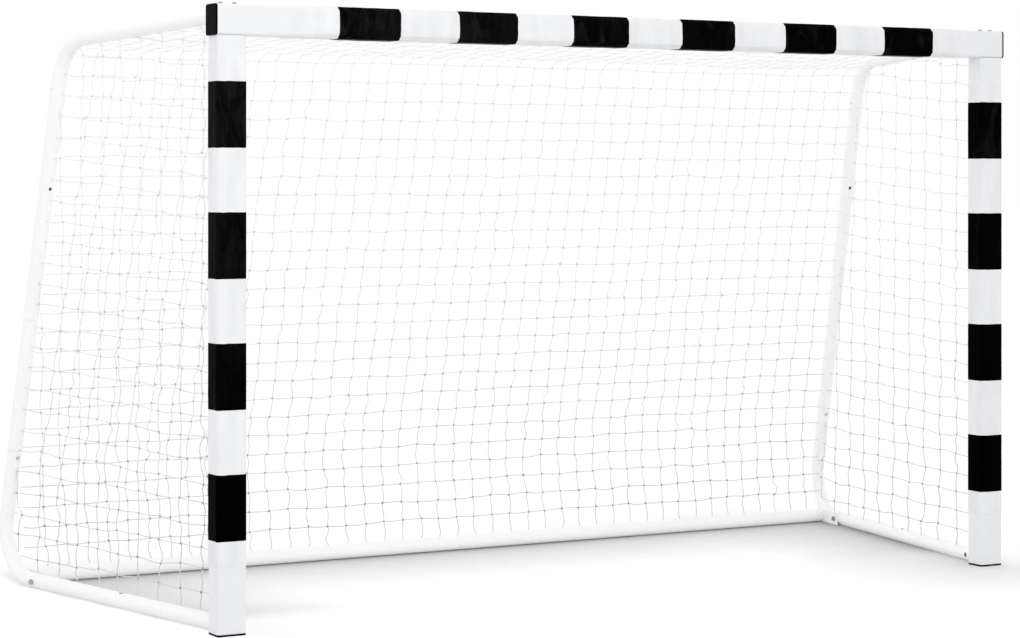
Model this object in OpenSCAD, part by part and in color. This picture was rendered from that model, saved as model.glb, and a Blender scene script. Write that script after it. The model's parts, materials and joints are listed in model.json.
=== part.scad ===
// Free-standing goal: a box-section front frame in striped sleeves, two bent
// tube side frames that turn outward, a ground bar behind and a hung net.
// Millimetres. X runs along the crossbar, Y from the front to the back, Z up.

/* [Front frame] */
// Width over the two posts
goal_w = 2400; // [1200:10:3600]
// Height to the top of the crossbar
goal_h = 1500; // [1300:10:2000]
// Width of the box section, seen from the front
face_w = 75; // [60:1:100]
// Depth of the box section, front to back
section_d = 60; // [50:1:90]
// Wall of the box section
section_wall = 2; // [1.5:0.1:4]
// Outside corner radius of the box section
section_r = 8; // [5:0.5:12]
// Length of the joiner inside the crossbar
joiner_l = 300; // [150:10:500]
// Thickness of the plate that closes a post's head
head_plate_t = 4; // [3:0.5:8]

/* [Caps and feet] */
// Thickness of a crossbar end cap outside the tube
cap_rim_t = 5; // [3:0.5:10]
// Thickness of a foot under its post
foot_t = 5; // [3:0.5:12]
// Depth of a plug inside its tube
plug_depth = 25; // [10:1:45]

/* [Side frames] */
// Outside diameter of the round tubes
tube_d = 40; // [32:1:50]
// Wall of the round tubes
tube_wall = 1.5; // [1.2:0.1:2.5]
// Angle by which a side frame turns outward
splay = 11; // [0:0.5:20]
// Length of the ground side, from the post to the sharp rear corner
ground_depth = 1050; // [900:10:1500]
// Length of the top side, from the crossbar to the sharp rear corner
top_depth = 720; // [500:10:880]
// Drop of the top rail's axis below the crossbar's top, at its front
rail_drop = 22; // [20:1:40]
// Further fall of the top rail from its front to its rear corner
rail_fall = 35; // [0:1:80]
// Centreline radius of both bends
bend_r = 130; // [90:1:150]
// Height of the upper joint of an upright
joint_high_h = 713; // [550:1:900]
// Height of the lower joint of an upright
joint_low_h = 360; // [300:1:480]
// Distance of the ground rail's joint from the post
joint_rail_l = 232; // [150:1:360]
// Length of the swaged end inside its mate
spigot_l = 45; // [40:1:60]
// Radial clearance of a swaged end in its mate
spigot_gap = 0.3; // [0.2:0.05:0.5]
// Bevel on a tube's end
tube_bevel = 0.8; // [0.2:0.1:1.2]

/* [Rear ground bar] */
// Distance of the bar's axis in front of the sharp rear corner
bar_inset = 100; // [95:5:115]
// Distance of the corner bolt in front of the sharp rear corner
corner_bolt_inset = 200; // [145:5:230]
// Thickness of the lug on the bar's end
lug_t = 4; // [3:0.5:6]

/* [Holes] */
// Diameter of the ground peg hole
peg_hole_d = 16; // [10:0.5:20]
// Distance of the peg hole from the post
peg_hole_s = 440; // [400:5:520]
// Clearance of a ground peg from the side net
peg_gap = 2.5; // [1.5:0.5:4]
// Diameter of the hook hole in the front of an upright
hook_hole_d = 9; // [5:0.5:14]
// Height of the hook hole
hook_hole_h = 1058; // [950:1:1200]
// Diameter of the small lacing holes
lace_hole_d = 5; // [3:0.5:8]
// Height of the upright's lacing hole
lace_hole_h = 1320; // [1250:1:1330]
// Distances of the rail's two lacing holes from the post
lace_hole_s = [567, 633];

/* [Fasteners] */
// Nominal diameter of the bolts
bolt_d = 8; // [6:1:10]
// Clearance of a bolt in a plain hole, on diameter
bolt_gap = 0.8; // [0.4:0.1:1.5]
// Spacing of the two crossbar bolts on a post
bolt_spacing = 36; // [24:1:40]
// Diameter of a domed bolt head
dome_d = 14; // [12:0.5:18]
// Height of a domed bolt head
dome_h = 6; // [3:0.5:8]
// Width across flats of hex heads and nuts
hex_af = 13; // [10:1:17]
// Height of a hex head or nut
hex_h = 6; // [4:0.5:9]
// Distance of a rail bolt from the post
rail_bolt_s = 34; // [28:1:40]
// Diameter of the rail bolts
rail_bolt_d = 6; // [5:1:8]
// Length of the rail bolts under the head
rail_bolt_l = 14; // [8:1:18]

/* [Snap buttons] */
// Diameter of a snap button
button_d = 10; // [6:0.5:12]
// How far a button stands out of its tube
button_out = 3.2; // [2:0.1:4]
// Distance of a button from its joint
button_set = 19; // [14:1:24]
// Radial clearance of a button in its holes
button_gap = 0.3; // [0.2:0.05:0.5]
// Width of the spring strip
strip_w = 8; // [6:0.5:10]
// Thickness of the spring strip
strip_t = 0.8; // [0.6:0.1:1.2]

/* [Sleeves] */
// Thickness of the sleeve skin
sleeve_t = 0.8; // [0.5:0.1:1.5]
// Gap between the tube and its sleeve
sleeve_gap = 0.3; // [0.2:0.1:0.6]
// Thickness of a dark band
band_t = 0.3; // [0.2:0.1:0.6]
// Gap between the sleeve and a band
band_gap = 0.1; // [0.05:0.05:0.3]
// Length of a band on the crossbar
bar_band_l = 168; // [80:1:200]
// Shortfall of the crossbar's sleeve on the gap between the posts, halved
bar_sleeve_inset = 80; // [65:1:160]
// Length of white sleeve past the crossbar's outermost bands
bar_sleeve_margin = 131; // [5:1:150]
// Number of bands on the crossbar
bar_bands = 6; // [2:1:6]
// How far the crossbar's sleeve sits off centre
bar_sleeve_shift = 32; // [-60:1:60]
// Length of a band on a post
post_band_l = 158; // [80:1:180]
// Height of the lower edge of the left post's lowest band
post_band_low = 225; // [160:5:400]
// Number of bands on a post
post_bands_n = 4; // [2:1:4]
// Distance of the left post's first band below the crossbar
post_band_drop = 109; // [70:1:150]
// How much lower the right post's sleeve sits
right_sleeve_drop = 16; // [0:1:40]
// Length of white sleeve past a post's outermost bands
post_sleeve_margin = 63; // [5:1:65]

/* [Net] */
// Thickness of a net cord
cord_d = 4; // [2:0.5:6]
// Spacing of the net's upright cords in the back and roof
net_pitch_x = 168; // [120:1:300]
// Spacing of the net's level cords in the back
net_pitch_z = 156; // [110:1:300]
// Spacing of the level cords in the roof
net_pitch_roof = 170; // [110:1:300]
// Spacing of the upright cords in the sides
net_pitch_s = 140; // [100:1:300]
// Clearance between the net and the tubes
net_gap = 0.5; // [0.3:0.1:0.9]
// Height where the back net turns in to the ground bar
fold_h = 300; // [220:5:350]

/* [Hidden] */
$fn = 64;
eps = 0.01;
face_gap = 0.3;                                     // between curved faces of separate pieces
weld_gap = 0.05;                                    // between pieces drawn apart and welded
tube_r = tube_d / 2;
bore_r = tube_r - tube_wall;                        // inside of a round tube
spigot_r = bore_r - spigot_gap;                     // outside of a swaged end
spigot_bore_r = spigot_r - tube_wall;
shoulder_l = 3;                                     // swage shoulder inside the parent's end
joint_gap = 0.3;                                    // between the ends of two joined tubes
bend_lap = 1;                                       // a straight end's lap over its bend
bend_step = 0.2;                                    // step where a straight end meets a bend
post_x = goal_w / 2 - face_w / 2;                   // centreline of a post
beam_z = goal_h - face_w / 2;                       // centreline of the crossbar
beam_bottom = goal_h - face_w;
rail_z = goal_h - rail_drop;                        // top rail's axis at its front
ground_z = tube_r;                                  // ground rail's axis
corner_z = rail_z - rail_fall;                      // sharp rear corner of the top rail
rail_slope = atan2(rail_fall, top_depth);           // fall of the top rail
lean = atan2(ground_depth - top_depth, corner_z - ground_z);   // lean of an upright
top_turn = 90 - rail_slope - lean;
low_turn = 90 + lean;
top_tangent = bend_r * tan(top_turn / 2);
low_tangent = bend_r * tan(low_turn / 2);
// Sharp corners, bend centres and the uprights' line, as [distance from the post, height]
top_corner = [top_depth, corner_z];
low_corner = [ground_depth, ground_z];
top_in = top_corner - top_tangent * [cos(rail_slope), -sin(rail_slope)];
top_out = top_corner + top_tangent * [sin(lean), -cos(lean)];
low_in = low_corner - low_tangent * [sin(lean), -cos(lean)];
low_out = low_corner - [low_tangent, 0];
top_centre = top_in - bend_r * [sin(rail_slope), cos(rail_slope)];
low_centre = low_out + [0, bend_r];
function upright_s(z) = ground_depth - (z - ground_z) * tan(lean);
function rail_at(s) = rail_z - s * tan(rail_slope);
bar_s = ground_depth - bar_inset;                   // rear bar's axis, past the post
corner_bolt_s = ground_depth - corner_bolt_inset;
// The whole goal is centred front to back over the ground
skin_t = sleeve_gap + sleeve_t + band_gap + band_t;
rear_reach = section_d + (low_centre[0] + bend_r) * cos(splay) + tube_r;
front_y = -(rear_reach - skin_t) / 2;
back_face_y = front_y + section_d;                  // back faces of the posts
// Sockets that carry the rails
socket_plate_t = 4;
socket_w = 56;
socket_h = 56;
socket_l = 60;
rail_start = 9;                                     // where a rail begins, past the post's back
// Snap spring inside a joint
strip_r = spigot_bore_r - 1;                        // outer face of the moving strip
strip_top = 6;                                      // strip above the button's axis
strip_bottom = 16;                                  // strip below the button's axis
strip_cut = 0.4;                                    // gap between the moving strip and the bend
// Net plates
net_half = tube_r + net_gap;                        // from a tube's axis to the net's edge
side_net_y = peg_hole_d / 2 + peg_gap + cord_d / 2; // side net's plane, inward of the tubes' axes
side_net_half = sqrt(pow(tube_r, 2) - pow(side_net_y - cord_d / 2, 2)) + net_gap;
ridge_angle = (lean + 90 - rail_slope) / 2;
ridge = top_centre + bend_r * [cos(ridge_angle), sin(ridge_angle)];
fold = [upright_s(fold_h), fold_h];
hem_low = [bar_s, ground_z + net_half + cord_d / 2];
net_front = 4.3;                                    // side net's front edge, past the post's back
hook_base_y = skin_t + face_gap;                    // hook's base, past the frame's back face
net_nx = round(half_width(low_corner[0]) / net_pitch_x);
net_step_x = half_width(low_corner[0]) / net_nx;    // upright cords, the same in every level panel
net_nz = round((rail_z - ground_z) / net_pitch_z);
net_step_z = (rail_z - ground_z) / net_nz;          // level cords of a side net
roof_tuck = 6;                                      // the roof's front corners clear the bolts

// ---- Placement ----

// Mirrors its children to the left of the goal when side is -1
module on(side) {
    if (side > 0) children();
    else mirror([1, 0, 0]) children();
}

// Side frame's own frame: X away from the post, Y inward, Z up
module side_frame(side) {
    on(side) translate([post_x, back_face_y, 0]) rotate([0, 0, 90 - splay]) children();
}

// Stands its children's Z axis on the line from p to q in the side frame's plane
module along(p, q) {
    translate([p[0], 0, p[1]]) rotate([0, atan2(q[0] - p[0], q[1] - p[1]), 0]) children();
}

// Joint frames: Z points back along the outer tube's mate, X to the button
module lower_joint(side) {
    side_frame(side) translate([upright_s(joint_low_h), 0, joint_low_h])
        rotate([0, -lean, 0]) rotate([0, 0, 180]) children();
}
module bar_joint() {
    translate([0, bar_y(), ground_z]) rotate([0, 90, 0]) rotate([0, 0, 90]) children();
}
function bar_y() = back_face_y + bar_s * cos(splay);
function bar_x() = post_x + bar_s * sin(splay);

// ---- Shapes ----

module rounded_rect(w, h, r) {
    square([w - 2 * r, h], center = true);
    square([w, h - 2 * r], center = true);
    for (x = [-1, 1], y = [-1, 1]) translate([x * (w / 2 - r), y * (h / 2 - r)]) circle(r);
}

module ring_section(w, h, r, t) {
    difference() {
        rounded_rect(w, h, r);
        rounded_rect(w - 2 * t, h - 2 * t, r - t);
    }
}

// Box tube standing on the origin
module box_tube(w, h, r, t, l) {
    linear_extrude(l) ring_section(w, h, r, t);
}

// Skin round a box section: gap from the tube, thickness and length
module box_skin(gap, t, l) {
    grow = 2 * (gap + t);
    box_tube(face_w + grow, section_d + grow, section_r + gap + t, t, l);
}

// Round tube of length l, bevelled at its start and, unless it goes on into a bend, at its end
module round_tube(l, into_bend = false) {
    far = into_bend ? [[tube_r, l + bend_lap], [bore_r, l + bend_lap]]
                    : [[tube_r, l - tube_bevel], [tube_r - tube_bevel, l], [bore_r, l]];
    rotate_extrude()
        polygon(concat([[bore_r, 0], [tube_r - tube_bevel, 0], [tube_r, tube_bevel]], far));
}

// Straight round tube from p to q in the side plane
module run(p, q, into_bend = false) {
    along(p, q) round_tube(norm(q - p), into_bend);
}

// Bent round tube about a centre in the side plane, from angle a to angle b;
// the wall is a hair thicker inside and thinner outside, so straight ends lap over it
module bend(c, a, b) {
    translate([c[0], 0, c[1]]) rotate([90, 0, 0]) rotate([0, 0, a])
        rotate_extrude(angle = b - a) translate([bend_r, 0]) difference() {
            circle(tube_r - bend_step);
            circle(bore_r - bend_step);
        }
}

// Swaged end: a shoulder inside the parent's end and a spigot past it, going down -Z
module swage() {
    rotate([180, 0, 0]) {
        translate([0, 0, -shoulder_l]) difference() {
            cylinder(h = shoulder_l - tube_bevel, r = bore_r + tube_wall / 2);
            translate([0, 0, -1]) cylinder(h = shoulder_l + 2, r = spigot_bore_r);
        }
        translate([0, 0, -shoulder_l]) difference() {
            cylinder(h = spigot_l + shoulder_l, r = spigot_r);
            translate([0, 0, -shoulder_l]) cylinder(h = spigot_l + 3 * shoulder_l, r = spigot_bore_r);
        }
    }
}

// Cutter for the button's hole, from the axis out past the tube's +X side
module button_hole() {
    translate([0, 0, -button_set]) rotate([0, 90, 0])
        cylinder(h = tube_r + 5, r = button_d / 2 + button_gap);
}

module hex(h, bore) {
    difference() {
        cylinder(h = h, d = hex_af / cos(30), $fn = 6);
        if (bore > 0) translate([0, 0, -1]) cylinder(h = h + 2, d = bore);
    }
}

// ---- Front frame ----

module crossbar_half(side) {
    color("white") difference() {
        on(side) translate([0, front_y + section_d / 2, beam_z]) rotate([0, 90, 0])
            box_tube(face_w, section_d, section_r, section_wall, goal_w / 2);
        for (k = [-1, 1]) crossbar_bolt_axis(side, k)
            cylinder(h = 3 * face_w, d = bolt_d + bolt_gap, center = true);
    }
}

// Puts its children on a crossbar bolt's axis, at the crossbar's top
module crossbar_bolt_axis(side, k) {
    translate([side * (post_x + k * bolt_spacing / 2), front_y + section_d / 2, goal_h]) children();
}

module crossbar_joiner() {
    gap = section_wall + spigot_gap;
    color("silver") translate([-joiner_l / 2, front_y + section_d / 2, beam_z]) rotate([0, 90, 0])
        box_tube(face_w - 2 * gap, section_d - 2 * gap, section_r - gap, section_wall, joiner_l);
}

module post(side) {
    h = beam_bottom - head_plate_t - foot_t;
    color("white") translate([side * post_x, front_y + section_d / 2, foot_t])
        box_tube(face_w, section_d, section_r, section_wall, h);
}

module post_head_plates() {
    color("white") for (side = [-1, 1]) difference() {
        translate([side * post_x, front_y + section_d / 2, beam_bottom - head_plate_t])
            linear_extrude(head_plate_t) rounded_rect(face_w, section_d, section_r);
        for (k = [-1, 1]) crossbar_bolt_axis(side, k)
            cylinder(h = 3 * face_w, d = bolt_d + bolt_gap, center = true);
    }
}

module crossbar_bolts() {
    shank = face_w + head_plate_t + hex_h + 2;
    color("gainsboro") for (side = [-1, 1], k = [-1, 1]) crossbar_bolt_axis(side, k) {
        translate([0, 0, -shank]) cylinder(h = shank + eps, d = bolt_d);
        dome(dome_d, dome_h);
    }
}

// Domed head: a slice of a ball standing on the origin
module dome(d, h) {
    ball = (d * d / 4 + h * h) / (2 * h);
    intersection() {
        translate([0, 0, h - ball]) sphere(ball);
        cylinder(h = h, d = d);
    }
}

module crossbar_nuts() {
    color("gainsboro") for (side = [-1, 1], k = [-1, 1]) crossbar_bolt_axis(side, k)
        translate([0, 0, -face_w - head_plate_t - hex_h]) hex(hex_h, bolt_d + 0.2);
}

module end_cap(side) {
    bore_w = face_w - 2 * section_wall - 0.6;
    bore_d = section_d - 2 * section_wall - 0.6;
    color("black") on(side) translate([goal_w / 2, front_y + section_d / 2, beam_z])
        rotate([0, 90, 0]) {
            linear_extrude(cap_rim_t) rounded_rect(face_w, section_d, section_r);
            translate([0, 0, -cap_plug_l()]) linear_extrude(cap_plug_l())
                ring_section(bore_w, bore_d, section_r - section_wall - 0.3, 2.5);
        }
}
// The plug stops short of the nearer crossbar bolt
function cap_plug_l() = min(plug_depth, face_w / 2 - bolt_spacing / 2 - bolt_d);

module foot(side) {
    bore_w = face_w - 2 * section_wall - 0.6;
    bore_d = section_d - 2 * section_wall - 0.6;
    color("black") translate([side * post_x, front_y + section_d / 2, 0]) {
        linear_extrude(foot_t) rounded_rect(face_w, section_d, section_r);
        translate([0, 0, foot_t]) linear_extrude(plug_depth)
            ring_section(bore_w, bore_d, section_r - section_wall - 0.3, 2.5);
    }
}

// ---- Sleeves ----

bar_sleeve_l = goal_w - 2 * face_w - 2 * bar_sleeve_inset;
bar_band_pitch = (bar_sleeve_l - 2 * bar_sleeve_margin - bar_band_l) / (bar_bands - 1);
post_bands_l = beam_bottom - post_band_drop - post_band_low;
post_band_pitch = (post_bands_l - post_band_l) / (post_bands_n - 1);
function post_top(side) = beam_bottom - post_band_drop - (side > 0 ? right_sleeve_drop : 0);

module crossbar_skin(x, gap, t, l) {
    translate([x, front_y + section_d / 2, beam_z]) rotate([0, 90, 0]) box_skin(gap, t, l);
}

module crossbar_sleeve() {
    color("white") crossbar_skin(bar_sleeve_shift - bar_sleeve_l / 2, sleeve_gap, sleeve_t, bar_sleeve_l);
}

module crossbar_bands() {
    first = bar_sleeve_shift - bar_sleeve_l / 2 + bar_sleeve_margin;
    color([0.06, 0.06, 0.06]) for (i = [0 : bar_bands - 1])
        crossbar_skin(first + i * bar_band_pitch, sleeve_gap + sleeve_t + band_gap, band_t, bar_band_l);
}

module post_skin(side, z, gap, t, l) {
    translate([side * post_x, front_y + section_d / 2, z]) box_skin(gap, t, l);
}

module post_sleeve(side) {
    l = post_bands_l + 2 * post_sleeve_margin;
    color("white") post_skin(side, post_top(side) + post_sleeve_margin - l, sleeve_gap, sleeve_t, l);
}

module post_bands(side) {
    color([0.06, 0.06, 0.06]) for (i = [0 : post_bands_n - 1])
        post_skin(side, post_top(side) - post_band_l - i * post_band_pitch,
                  sleeve_gap + sleeve_t + band_gap, band_t, post_band_l);
}

// ---- Sockets ----

// Plate on the frame's back with a stub that a rail slides over; z is the stub's height
module socket(side, z, slope, plate_low) {
    color("white") difference() {
        union() {
            on(side) translate([post_x - socket_w / 2, back_face_y, plate_low])
                cube([socket_w, socket_plate_t, socket_h]);
            intersection() {
                side_frame(side) translate([0, 0, z]) rotate([0, 90 + slope, 0])
                    difference() {
                        translate([0, 0, -20]) cylinder(h = socket_l + 20, r = spigot_r);
                        translate([0, 0, -25]) cylinder(h = socket_l + 30, r = spigot_bore_r);
                    }
                translate([-goal_w, back_face_y + socket_plate_t / 2, -goal_h])
                    cube([2 * goal_w, 4 * socket_l, 3 * goal_h]);
            }
        }
        rail_bolt_axis(side, z, slope) translate([0, 0, -tube_d])
            cylinder(h = tube_d, d = rail_bolt_d + 0.2);
    }
}

// Puts its children on a rail bolt's axis, pointing outward from the side plane
module rail_bolt_axis(side, z, slope) {
    side_frame(side) translate([rail_bolt_s, 0, z - rail_bolt_s * tan(slope)])
        rotate([90, 0, 0]) children();
}

module top_socket(side) { socket(side, rail_z, rail_slope, goal_h - socket_h - 2); }
module ground_socket(side) { socket(side, ground_z, 0, 1); }

// ---- Side frames ----

module top_tube(side) {
    foot_of_tube = [upright_s(joint_high_h), joint_high_h];
    front = [rail_start, rail_at(rail_start)];
    color("white") difference() {
        side_frame(side) {
            run(front, top_in, true);
            bend(top_centre, lean, 90 - rail_slope);
            run(foot_of_tube, top_out, true);
            swage_at(foot_of_tube);
        }
        rail_bolt_axis(side, rail_z, rail_slope) rail_bolt_hole();
        // Hook hole in the front of the upright
        side_frame(side) translate([upright_s(hook_hole_h), 0, hook_hole_h])
            rotate([0, -90, 0]) cylinder(h = tube_d, d = hook_hole_d);
        // Lacing hole across the goal, just below the bend
        side_frame(side) translate([upright_s(lace_hole_h), 0, lace_hole_h])
            rotate([0, 0, splay]) rotate([90, 0, 0]) cylinder(h = 2 * tube_d, d = lace_hole_d, center = true);
    }
}

// Swaged end at a point of the upright's line, going down into the next tube
module swage_at(p) {
    translate([p[0], 0, p[1]]) rotate([0, -lean, 0]) swage();
}

module upright_tube(side) {
    top = [upright_s(joint_high_h), joint_high_h];
    low = [upright_s(joint_low_h), joint_low_h];
    color("white") difference() {
        side_frame(side) {
            run(low, top - joint_gap * [-sin(lean), cos(lean)]);
            swage_at(low);
        }
        lower_joint(side) button_hole();
    }
}

module corner_tube(side) {
    top = [upright_s(joint_low_h), joint_low_h] - joint_gap * [-sin(lean), cos(lean)];
    front = [joint_rail_l, ground_z];
    color("white") difference() {
        side_frame(side) {
            run(top, low_in, true);
            bend(low_centre, -90, lean);
            run(front, low_out, true);
            translate([joint_rail_l, 0, ground_z]) rotate([0, 90, 0]) swage();
        }
        lower_joint(side) button_hole();
        side_frame(side) translate([corner_bolt_s, 0, corner_bolt_z()])
            rotate([90, 0, 0]) cylinder(h = 2 * tube_d, d = bolt_d + bolt_gap, center = true);
        side_frame(side) translate([peg_hole_s, 0, ground_z])
            cylinder(h = 2 * tube_d, d = peg_hole_d, center = true);
        for (s = lace_hole_s) side_frame(side) translate([s, 0, ground_z])
            cylinder(h = tube_d, d = lace_hole_d);
    }
}
// Height of the bent tube's axis at the corner bolt
function corner_bolt_z() = low_centre[1]
    - sqrt(pow(bend_r, 2) - pow(max(corner_bolt_s - low_centre[0], 0), 2));

module rail_tube(side) {
    color("white") difference() {
        side_frame(side) run([rail_start, ground_z], [joint_rail_l - joint_gap, ground_z]);
        rail_bolt_axis(side, ground_z, 0) rail_bolt_hole();
    }
}

// Hole through a rail's inner wall
module rail_bolt_hole() {
    translate([0, 0, -2 * tube_d]) cylinder(h = 2 * tube_d, d = rail_bolt_d + bolt_gap);
}

// Bolts that hold the four rails on their sockets, heads on the inner side
module rail_bolts() {
    color("dimgray") for (side = [-1, 1]) {
        rail_bolt_axis(side, rail_z, rail_slope) rail_bolt();
        rail_bolt_axis(side, ground_z, 0) rail_bolt();
    }
}

module rail_bolt() {
    translate([0, 0, -tube_r - face_gap - eps]) cylinder(h = rail_bolt_l, d = rail_bolt_d);
    rotate([180, 0, 0]) translate([0, 0, tube_r + face_gap]) dome(2 * rail_bolt_d, rail_bolt_d / 2);
}

// ---- Rear ground bar ----

// Puts its children on the corner bolt's axis, pointing outward
module corner_bolt_axis(side) {
    side_frame(side) translate([corner_bolt_s, 0, corner_bolt_z()]) rotate([90, 0, 0]) children();
}

module corner_bolts() {
    l = tube_d + lug_t + 2 * face_gap + hex_h + 2;
    color("silver") for (side = [-1, 1]) corner_bolt_axis(side) {
        translate([0, 0, tube_r + face_gap]) hex(hex_h, 0);
        translate([0, 0, tube_r + face_gap + eps - l]) cylinder(h = l, d = bolt_d);
    }
}

module corner_nuts() {
    color("silver") for (side = [-1, 1]) corner_bolt_axis(side)
        translate([0, 0, -tube_r - face_gap - lug_t - hex_h]) hex(hex_h, bolt_d + 0.2);
}

// Upright plate on the inner side of the corner tube, welded to the bar's end
module rear_bar_lugs() {
    front = corner_bolt_s - hex_af - 4;
    rear = bar_s + tube_r;
    color("white") for (side = [-1, 1]) difference() {
        side_frame(side) translate([front, tube_r + face_gap, 1])
            cube([rear - front, lug_t, tube_d - 1]);
        corner_bolt_axis(side) cylinder(h = 4 * tube_d, d = bolt_d + bolt_gap, center = true);
    }
}

// Half of the bar, from the middle to its lug; the right half has the swaged end
module rear_bar(side) {
    // the bar's end is cut back to the lug's inner face
    lug_face = tube_r + face_gap + lug_t + weld_gap;
    color("white") difference() {
        union() {
            difference() {
                on(side) translate([side < 0 ? joint_gap : 0, bar_y(), ground_z])
                    rotate([0, 90, 0]) round_tube(bar_x());
                side_frame(side) translate([bar_s - 3 * tube_d, lug_face - 6 * tube_d, -tube_d])
                    cube([6 * tube_d, 6 * tube_d, 4 * tube_d]);
            }
            if (side > 0) bar_joint() swage();
        }
        bar_joint() button_hole();
    }
}

// ---- Snap buttons ----

// Button with the strip that carries it; it slides inward along -X
module snap_button() {
    back = strip_r - strip_t;
    color("silver") {
        translate([0, 0, -button_set]) rotate([0, 90, 0]) {
            translate([0, 0, back]) cylinder(h = tube_r - back + 1, d = button_d);
            translate([0, 0, tube_r + 1]) dome(button_d, button_out - 1);
        }
        translate([back, -strip_w / 2, -button_set - strip_bottom + strip_cut])
            cube([strip_t, strip_w, strip_top + strip_bottom - strip_cut]);
    }
}

// Fixed part of the spring: the strip on the far wall and the bend below the button
module snap_spring() {
    low = -button_set - strip_bottom;
    translate([-strip_r, -strip_w / 2, low]) cube([strip_t, strip_w, strip_top + strip_bottom]);
    translate([0, 0, low]) rotate([90, 0, 0]) linear_extrude(strip_w, center = true) difference() {
        circle(strip_r);
        circle(strip_r - strip_t);
        translate([-2 * strip_r, 0]) square([4 * strip_r, 2 * strip_r]);
    }
}

module snap_springs() {
    color("silver") {
        for (side = [-1, 1]) lower_joint(side) snap_spring();
        bar_joint() snap_spring();
    }
}

// ---- Net ----

// Points round c at radius r, from angle a to angle b
function arc(c, r, a, b, n) = [for (i = [0 : n])
    let (g = a + (b - a) * i / n) c + r * [cos(g), sin(g)]];

// Outline of a side net, a given distance inside the tubes' axes
function side_outline(d, front) = concat(
    [[front, ground_z + d]],
    arc(low_centre, bend_r - d, -90, lean, 6),
    arc(top_centre, bend_r - d, lean, 90 - rail_slope, 5),
    [[front, rail_at(front) - d / cos(rail_slope)]]);

// Cords inside a w by h rectangle from the origin, nx by nz meshes
module mesh_cords(w, h, nx, nz) {
    for (i = [1 : nx - 1]) translate([i * w / nx - cord_d / 2, 0]) square([cord_d, h]);
    for (i = [1 : nz - 1]) translate([0, i * h / nz - cord_d / 2]) square([w, cord_d]);
}

module side_net(side) {
    reach = low_centre[0] + bend_r - net_front;
    color("black") side_frame(side) translate([0, side_net_y, 0]) rotate([90, 0, 0])
        linear_extrude(cord_d, center = true) {
            difference() {
                polygon(side_outline(side_net_half, net_front));
                polygon(side_outline(side_net_half + cord_d, net_front + cord_d));
            }
            intersection() {
                polygon(side_outline(side_net_half + cord_d / 2, net_front + cord_d / 2));
                translate([net_front, ground_z])
                    mesh_cords(reach, net_nz * net_step_z, round(reach / net_pitch_s), net_nz);
            }
        }
}

// Half width of the goal at distance s from the posts, inside the side frames
function half_width(s) = post_x + s * sin(splay) - net_half / cos(splay);

// Flat net between two level edges p and q of the side plane; q's ends stand in by tuck
module net_panel(p, q, nz, tuck = 0) {
    start = [back_face_y + p[0] * cos(splay), p[1]];
    end = [back_face_y + q[0] * cos(splay), q[1]];
    l = norm(end - start);
    a = atan2(end[1] - start[1], end[0] - start[0]);
    wp = half_width(p[0]);
    wq = half_width(q[0]) - tuck;
    outline = [[-wp, 0], [wp, 0], [wq, l], [-wq, l]];
    inner = [[-wp + cord_d, cord_d], [wp - cord_d, cord_d], [wq - cord_d, l - cord_d], [-wq + cord_d, l - cord_d]];
    middle = (outline + inner) / 2;
    color("black") translate([0, start[0], start[1]]) rotate([a, 0, 0])
        linear_extrude(cord_d, center = true) {
            difference() {
                polygon(outline);
                polygon(inner);
            }
            intersection() {
                polygon(middle);
                translate([-net_step_x * net_nx, 0]) mesh_cords(2 * net_step_x * net_nx, l, 2 * net_nx, nz);
            }
        }
}

module back_net() {
    net_panel(fold + [0, cord_d], ridge - [0, cord_d], round((ridge[1] - fold_h) / net_pitch_z));
}
module back_net_hem() { net_panel(hem_low, fold, 2); }
module roof_net() {
    front = [(hook_base_y + 6) / cos(splay), rail_z];
    net_panel(ridge, front, round(ridge[0] / net_pitch_roof), roof_tuck);
}

// Hook with a flat base on the frame's back and an upturned lip, opening up;
// the base is thicker by pad where no sleeve lies under it
module net_hook(pad = 0) {
    translate([-6, -pad, -9]) cube([12, 2 + pad, 18]);
    translate([-3, 0, -9]) cube([6, 14, 3]);
    translate([-3, 11, -9]) cube([6, 3, 10]);
}

// The hooks stand mid-mesh: on the crossbar they open up, on the posts sideways
module net_hooks() {
    color("white") {
        for (side = [-1, 1], i = [0 : net_nx - 2]) {
            x = side * (i + 0.5) * net_step_x;
            on_sleeve = abs(x - bar_sleeve_shift) < bar_sleeve_l / 2 + 6;
            translate([x, back_face_y + hook_base_y, rail_z - cord_d / 2 + 5.5])
                net_hook(on_sleeve ? 0 : hook_base_y);
        }
        for (side = [-1, 1], i = [1 : net_nz - 2]) on(side)
            translate([post_x - side_net_y, back_face_y + hook_base_y, ground_z + (i + 0.5) * net_step_z])
                rotate([0, 90, 0]) net_hook();
    }
}

// ---- Nodes ----

crossbar_half(-1);  // crossbar_left
crossbar_half(1);  // crossbar_right
crossbar_joiner();
post(-1);  // post_left
post(1);  // post_right
post_head_plates();
crossbar_bolts();
crossbar_nuts();
end_cap(-1);  // end_cap_left
end_cap(1);  // end_cap_right
foot(-1);  // foot_left
foot(1);  // foot_right
crossbar_sleeve();
post_sleeve(-1);  // post_sleeve_left
post_sleeve(1);  // post_sleeve_right
crossbar_bands();
post_bands(-1);  // post_bands_left
post_bands(1);  // post_bands_right
top_socket(-1);  // top_socket_left
top_socket(1);  // top_socket_right
ground_socket(-1);  // ground_socket_left
ground_socket(1);  // ground_socket_right
top_tube(-1);  // top_tube_left
top_tube(1);  // top_tube_right
upright_tube(-1);  // upright_tube_left
upright_tube(1);  // upright_tube_right
corner_tube(-1);  // corner_tube_left
corner_tube(1);  // corner_tube_right
rail_tube(-1);  // rail_tube_left
rail_tube(1);  // rail_tube_right
rail_bolts();
corner_bolts();
corner_nuts();
rear_bar(-1);  // rear_bar_left
rear_bar(1);  // rear_bar_right
rear_bar_lugs();
lower_joint(-1) snap_button();  // snap_button_left
lower_joint(1) snap_button();  // snap_button_right
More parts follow.
